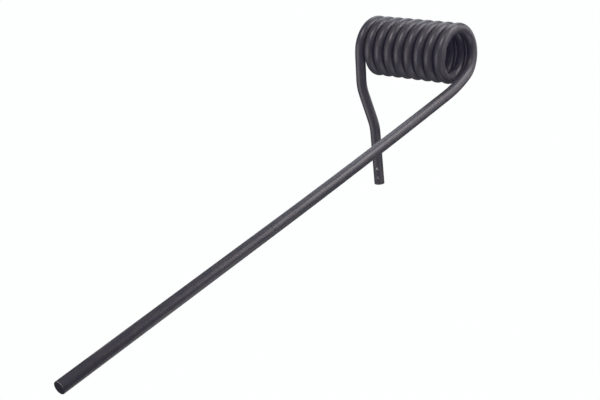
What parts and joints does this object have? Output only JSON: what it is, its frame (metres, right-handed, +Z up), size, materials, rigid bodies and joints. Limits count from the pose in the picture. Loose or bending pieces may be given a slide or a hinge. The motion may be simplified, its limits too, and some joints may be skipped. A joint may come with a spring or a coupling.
{
  "type": "torsion spring",
  "caption": "Left-hand torsion spring of black round wire: open-gap helical coil, one long straight leg and one short jogged leg.",
  "frame": {"origin": "middle of the coil, on the coil's axis", "axes": "+X along the coil's axis, towards the end that the long leg leaves from; +Z up; the long leg reaches out along -Y and slopes down, the short leg hangs down along -Z"},
  "size_m": [0.1095, 0.5112, 0.1961],
  "materials": {
    "spring_wire": "satin black, oil-blackened drawn spring wire"
  },
  "bodies": {
    "anchor_end": {"short_leg": "spring_wire", "coil_turn_1": "spring_wire"},
    "turn_2": {"coil_turn_2": "spring_wire"},
    "turn_3": {"coil_turn_3": "spring_wire"},
    "turn_4": {"coil_turn_4": "spring_wire"},
    "turn_5": {"coil_turn_5": "spring_wire"},
    "turn_6": {"coil_turn_6": "spring_wire"},
    "turn_7": {"coil_turn_7": "spring_wire"},
    "turn_8": {"coil_turn_8": "spring_wire"},
    "swing_end": {"coil_turn_9": "spring_wire", "long_leg": "spring_wire"}
  },
  "joints": [
    {"name": "wind_1", "type": "hinge", "parent": "anchor_end", "child": "turn_2", "pos_m": [-0.03802, 0, 0], "axis": [-1, 0, 0], "range_deg": [0, 7.5], "stiffness_Nm_per_rad": 624},
    {"name": "wind_2", "type": "hinge", "parent": "turn_2", "child": "turn_3", "pos_m": [-0.02716, 0, 0], "axis": [-1, 0, 0], "range_deg": [0, 7.5], "stiffness_Nm_per_rad": 624},
    {"name": "wind_3", "type": "hinge", "parent": "turn_3", "child": "turn_4", "pos_m": [-0.01629, 0, 0], "axis": [-1, 0, 0], "range_deg": [0, 7.5], "stiffness_Nm_per_rad": 624},
    {"name": "wind_4", "type": "hinge", "parent": "turn_4", "child": "turn_5", "pos_m": [-0.00543, 0, 0], "axis": [-1, 0, 0], "range_deg": [0, 7.5], "stiffness_Nm_per_rad": 624},
    {"name": "wind_5", "type": "hinge", "parent": "turn_5", "child": "turn_6", "pos_m": [0.00543, 0, 0], "axis": [-1, 0, 0], "range_deg": [0, 7.5], "stiffness_Nm_per_rad": 624},
    {"name": "wind_6", "type": "hinge", "parent": "turn_6", "child": "turn_7", "pos_m": [0.01629, 0, 0], "axis": [-1, 0, 0], "range_deg": [0, 7.5], "stiffness_Nm_per_rad": 624},
    {"name": "wind_7", "type": "hinge", "parent": "turn_7", "child": "turn_8", "pos_m": [0.02716, 0, 0], "axis": [-1, 0, 0], "range_deg": [0, 7.5], "stiffness_Nm_per_rad": 624},
    {"name": "wind_8", "type": "hinge", "parent": "turn_8", "child": "swing_end", "pos_m": [0.03802, 0, 0], "axis": [-1, 0, 0], "range_deg": [0, 7.5], "stiffness_Nm_per_rad": 624}
  ],
  "couplings": [
    {"joint": "wind_2", "follows": "wind_1", "ratio": 1},
    {"joint": "wind_3", "follows": "wind_1", "ratio": 1},
    {"joint": "wind_4", "follows": "wind_1", "ratio": 1},
    {"joint": "wind_5", "follows": "wind_1", "ratio": 1},
    {"joint": "wind_6", "follows": "wind_1", "ratio": 1},
    {"joint": "wind_7", "follows": "wind_1", "ratio": 1},
    {"joint": "wind_8", "follows": "wind_1", "ratio": 1}
  ]
}
